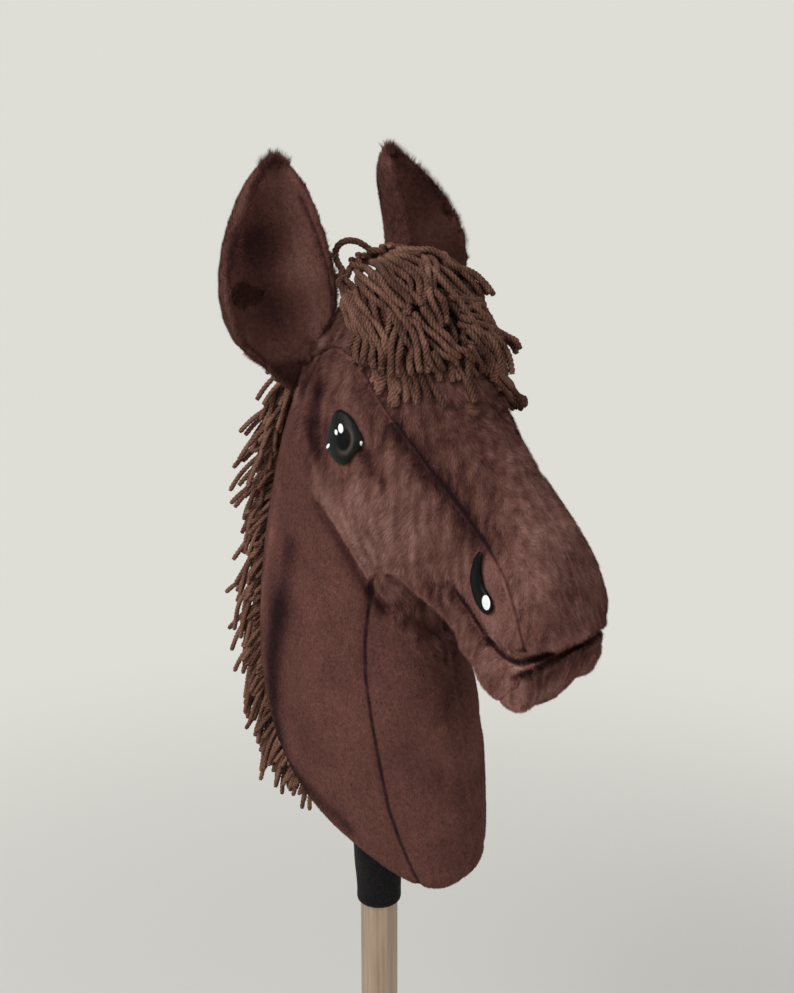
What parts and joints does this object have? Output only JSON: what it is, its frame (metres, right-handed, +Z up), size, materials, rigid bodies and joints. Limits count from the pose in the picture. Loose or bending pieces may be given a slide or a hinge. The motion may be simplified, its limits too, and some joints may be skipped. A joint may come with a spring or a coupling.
{
  "type": "hobby horse",
  "caption": "Stuffed plush horse's head with upright cupped ears, yarn mane and forelock, glossy eyes and a sewn mouth, on a straight wooden stick.",
  "frame": {"origin": "centre of the stick's lower end", "axes": "+Z up the stick, -Y the way the horse looks, -X the horse's right side"},
  "size_m": [0.2158, 0.2916, 0.947],
  "materials": {
    "plush": "short brushed plush with a visible nap, shaded darker along the mane, eyes and jaw",
    "ear_cloth": "dark short plush",
    "yarn": "soft plied yarn, cut ends",
    "tape": "plain woven cotton tape",
    "lining_cloth": "plain woven lining",
    "black_knit": "matte ribbed knit",
    "filling": "loose polyester fibre",
    "black_gloss": "hard glossy surface with painted white highlights",
    "stick_wood": "smooth bare wood"
  },
  "bodies": {
    "stick": {"stick": "stick_wood"},
    "head": {"stick_cuff": "black_knit", "stick_sleeve": "lining_cloth", "neck_stuffing": "filling", "head_stuffing": "filling", "side_panel_right": "plush", "side_panel_left": "plush", "forehead_gusset": "plush", "chin_gusset": "plush", "throat_gusset": "plush", "neck_base": "plush", "mouth_lining": "lining_cloth", "eye_right": "black_gloss", "eye_left": "black_gloss", "nostril_right": "black_gloss", "nostril_left": "black_gloss", "mane_tape": "tape", "mane_fringe": "yarn", "forelock_tape": "tape", "forelock_fringe": "yarn"},
    "ear_right": {"ear_outer_right": "plush", "ear_inner_right": "ear_cloth"},
    "ear_left": {"ear_outer_left": "plush", "ear_inner_left": "ear_cloth"}
  },
  "joints": [
    {"name": "head_slide", "type": "slide", "parent": "stick", "child": "head", "axis": [0, 0, 1], "range_m": [0, 0.25]},
    {"name": "ear_right_bend", "type": "hinge", "parent": "head", "child": "ear_right", "pos_m": [-0.04049, 0.01319, 0.83201], "axis": [-0.0552, 0.5281, -0.8474], "range_deg": [-12, 12], "stiffness_Nm_per_rad": 0.3},
    {"name": "ear_left_bend", "type": "hinge", "parent": "head", "child": "ear_left", "pos_m": [0.04049, 0.01319, 0.83201], "axis": [0.0552, 0.5281, -0.8474], "range_deg": [-12, 12], "stiffness_Nm_per_rad": 0.3}
  ]
}
